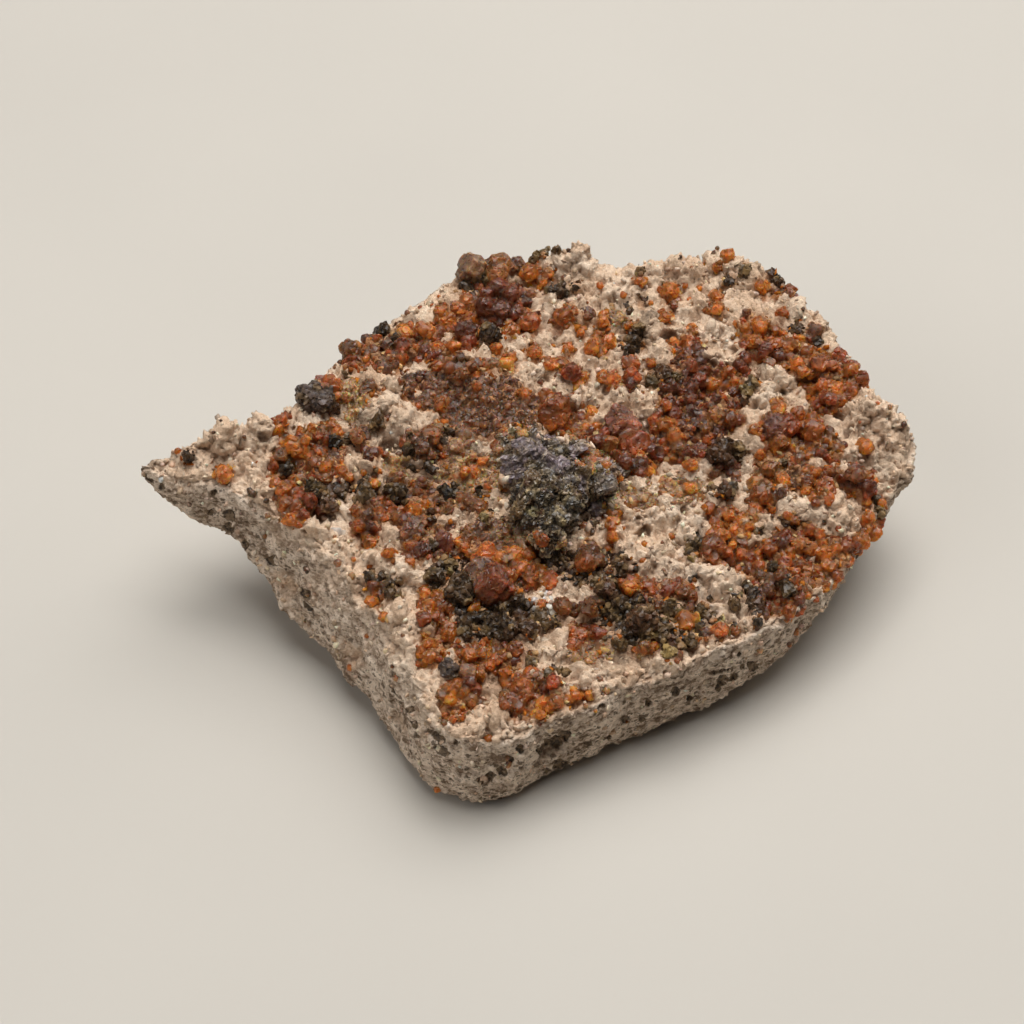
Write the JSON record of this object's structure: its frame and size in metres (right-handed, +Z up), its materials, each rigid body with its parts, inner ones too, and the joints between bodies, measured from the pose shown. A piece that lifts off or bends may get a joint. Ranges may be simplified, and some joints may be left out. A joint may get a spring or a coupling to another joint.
{
  "type": "garnet in matrix specimen",
  "caption": "Hand specimen of pale granular rock, its upper face crusted with small orange to red-brown garnets and dark crystals, resting on its own flat base",
  "frame": {"origin": "middle of the footprint, on the table plane under the specimen", "axes": "+X along the specimen's longest side, towards its blunt end; +Y towards its high back rim; +Z up, the way it rests"},
  "size_m": [0.0909, 0.0708, 0.0251],
  "materials": {
    "matrix": "dull pale pinkish-cream granular rock, finely pitted and dark-specked on its broken sides",
    "garnet_orange": "glassy translucent orange garnet",
    "garnet_red": "glassy translucent red-brown garnet",
    "garnet_brown": "dark brown garnet with an uneven glassy lustre",
    "dark_mineral": "green-black to blue-grey crystals with a dull metallic sheen",
    "olive_mineral": "olive-grey crusted crystals with paler streaks",
    "mica": "silvery pearly flakes"
  },
  "bodies": {
    "root": {"matrix": "matrix", "lone_orange_garnet": "garnet_orange", "glowing_orange_garnet": "garnet_orange", "small_orange_garnet": "garnet_orange", "stained_edge_garnet": "garnet_orange", "upper_left_garnet_crust": "garnet_orange", "middle_garnet_crust": "garnet_orange", "corner_garnet_crust": "garnet_orange", "stained_druse": "garnet_orange", "left_red_garnet": "garnet_red", "red_garnet": "garnet_red", "tall_purple_garnet": "garnet_red", "right_middle_garnet": "garnet_red", "front_pair_garnet": "garnet_red", "left_garnet_crust": "garnet_red", "back_garnet_crust": "garnet_red", "crest_garnets": "garnet_red", "layered_garnet_crust": "garnet_red", "right_rim_garnet_crust": "garnet_red", "valley_garnet_crust": "garnet_red", "right_garnet_crust": "garnet_red", "right_edge_garnet": "garnet_brown", "right_front_garnet_crust": "garnet_brown", "inner_garnet_crust": "garnet_brown", "brown_druse": "garnet_brown", "front_garnet_crust": "garnet_brown", "left_rim_dark_crystal": "dark_mineral", "back_dark_crystal": "dark_mineral", "back_right_dark_crystal": "dark_mineral", "dark_grain_left": "dark_mineral", "pale_rimmed_dark_crystal": "dark_mineral", "glassy_dark_crystal": "dark_mineral", "right_front_dark_crystal": "dark_mineral", "dark_cluster": "dark_mineral", "left_rim_garnet": "olive_mineral", "tip_dark_crystal": "olive_mineral", "lamellar_dark_crystal": "olive_mineral", "dark_lump": "olive_mineral", "left_olive_crystal": "olive_mineral", "corner_olive_crystal": "olive_mineral", "olive_garnet_knob": "olive_mineral", "mica_flake": "mica", "middle_brown_garnet": "garnet_brown"}
  },
  "joints": []
}
